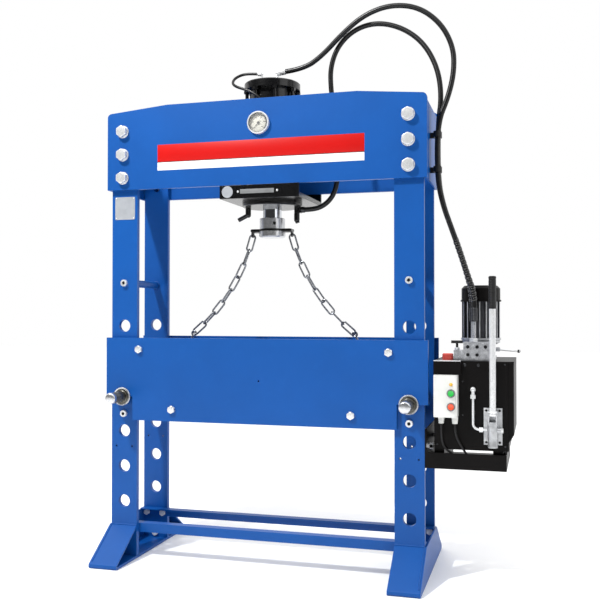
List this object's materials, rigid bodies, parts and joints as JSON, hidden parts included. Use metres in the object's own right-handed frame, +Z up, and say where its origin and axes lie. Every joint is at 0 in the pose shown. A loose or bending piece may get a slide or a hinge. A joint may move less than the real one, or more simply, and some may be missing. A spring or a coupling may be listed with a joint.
{
  "type": "hydraulic press",
  "caption": "Electro-hydraulic H-frame workshop press with a chain-lifted bed on support pins and a motor-driven power pack beside it.",
  "frame": {"origin": "on the floor, under the middle of the whole object", "axes": "+X along the head towards the power pack, +Y to the back, +Z up"},
  "size_m": [1.792, 0.72, 2.4032],
  "materials": {
    "blue_paint": "semi-gloss powder coat",
    "black_paint": "satin paint",
    "zinc_plate": "bright zinc plate",
    "ground_steel": "turned and ground",
    "chrome_rod": "hard chrome",
    "motor_alloy": "cast, plain",
    "hose_rubber": "wrapped rubber cover",
    "black_plastic": "moulded",
    "grey_plastic": "moulded",
    "green_plastic": "moulded",
    "red_plastic": "moulded",
    "gauge_glass": "clear"
  },
  "bodies": {
    "frame": {"upright_front_left": "blue_paint", "upright_front_right": "blue_paint", "upright_rear_left": "blue_paint", "upright_rear_right": "blue_paint", "stretcher_front": "blue_paint", "stretcher_rear": "blue_paint", "head_plate_front": "blue_paint", "head_plate_rear": "blue_paint", "foot_left": "blue_paint", "foot_right": "blue_paint", "frame_spacers": "blue_paint", "carriage_plate": "black_paint", "carriage_bars": "black_paint", "cylinder_barrel": "black_paint", "cylinder_cap": "black_paint", "cylinder_gland": "black_paint", "shelf": "black_paint", "tank": "black_paint", "tank_cover": "black_paint", "tank_lid": "black_paint", "motor_fan_cover": "black_paint", "frame_bolts": "zinc_plate", "hose_fittings": "zinc_plate", "hose_clips": "zinc_plate", "gauge_case": "zinc_plate", "hand_pump_body": "zinc_plate", "oil_pipe": "zinc_plate", "cylinder_tie_rods": "ground_steel", "motor_body": "motor_alloy", "bell_housing": "motor_alloy", "valve_block": "motor_alloy", "supply_hose": "hose_rubber", "return_hose": "hose_rubber", "gauge_hose": "hose_rubber", "starter_cable": "black_plastic", "motor_cable": "black_plastic", "starter_box": "grey_plastic", "gauge_glass": "gauge_glass"},
    "bed": {"bed_plate_front": "blue_paint", "bed_plate_rear": "blue_paint", "bed_cross_bars": "blue_paint", "bed_bolts": "zinc_plate"},
    "pin_left": {"support_pin_left": "ground_steel"},
    "pin_right": {"support_pin_right": "ground_steel"},
    "ram": {"piston": "ground_steel", "ram_rod": "chrome_rod", "ram_nose": "ground_steel", "ram_collar": "ground_steel", "chain_plate": "ground_steel", "chain_left": "zinc_plate", "chain_right": "zinc_plate"},
    "needle": {"gauge_needle": "black_plastic"},
    "pump_lever": {"hand_pump_lever": "zinc_plate", "hand_pump_grip": "black_plastic"},
    "start": {"start_button": "green_plastic"},
    "stop": {"stop_button": "red_plastic"},
    "valve_handle": {"valve_lever": "zinc_plate"},
    "relief_handle": {"relief_knob": "black_plastic"},
    "filler": {"filler_cap": "red_plastic"},
    "rotor": {"motor_rotor": "ground_steel"}
  },
  "joints": [
    {"name": "ram_slide", "type": "slide", "parent": "frame", "child": "ram", "axis": [0, 0, -1], "range_m": [0, 0.2]},
    {"name": "bed_lift", "type": "slide", "parent": "frame", "child": "bed", "axis": [0, 0, 1], "range_m": [0, 0.035]},
    {"name": "pin_left_slide", "type": "slide", "parent": "frame", "child": "pin_left", "axis": [0, -1, 0], "range_m": [0, 0.34]},
    {"name": "pin_right_slide", "type": "slide", "parent": "frame", "child": "pin_right", "axis": [0, -1, 0], "range_m": [0, 0.34]},
    {"name": "gauge_needle_turn", "type": "hinge", "parent": "frame", "child": "needle", "pos_m": [-0.179, -0.192, 1.899], "axis": [0, 1, 0], "range_deg": [0, 270], "stiffness_Nm_per_rad": 0.0005},
    {"name": "pump_lever_swing", "type": "hinge", "parent": "frame", "child": "pump_lever", "pos_m": [0.79, -0.178, 0.69], "axis": [1, 0, 0], "range_deg": [0, 50]},
    {"name": "start_button_press", "type": "slide", "parent": "frame", "child": "start", "axis": [0, 1, 0], "range_m": [0, 0.004], "stiffness_N_per_m": 400, "springref_m": -0.002},
    {"name": "stop_button_press", "type": "slide", "parent": "frame", "child": "stop", "axis": [0, 1, 0], "range_m": [0, 0.004], "stiffness_N_per_m": 400, "springref_m": -0.002},
    {"name": "valve_lever_shift", "type": "hinge", "parent": "frame", "child": "valve_handle", "pos_m": [0.808, -0.082, 0.942], "axis": [0, 1, 0], "range_deg": [-18, 18], "stiffness_Nm_per_rad": 1},
    {"name": "relief_knob_turn", "type": "hinge", "parent": "frame", "child": "relief_handle", "pos_m": [0.643, -0.082, 0.938], "axis": [0, 0, 1], "range_deg": [0, 270]},
    {"name": "filler_cap_turn", "type": "hinge", "parent": "frame", "child": "filler", "pos_m": [0.607, -0.1, 0.905], "axis": [0, 0, 1], "range_deg": [0, 120]},
    {"name": "motor_spin", "type": "hinge", "parent": "frame", "child": "rotor", "pos_m": [0.731, 0.04, 1.05], "axis": [0, 0, 1], "continuous": true}
  ]
}
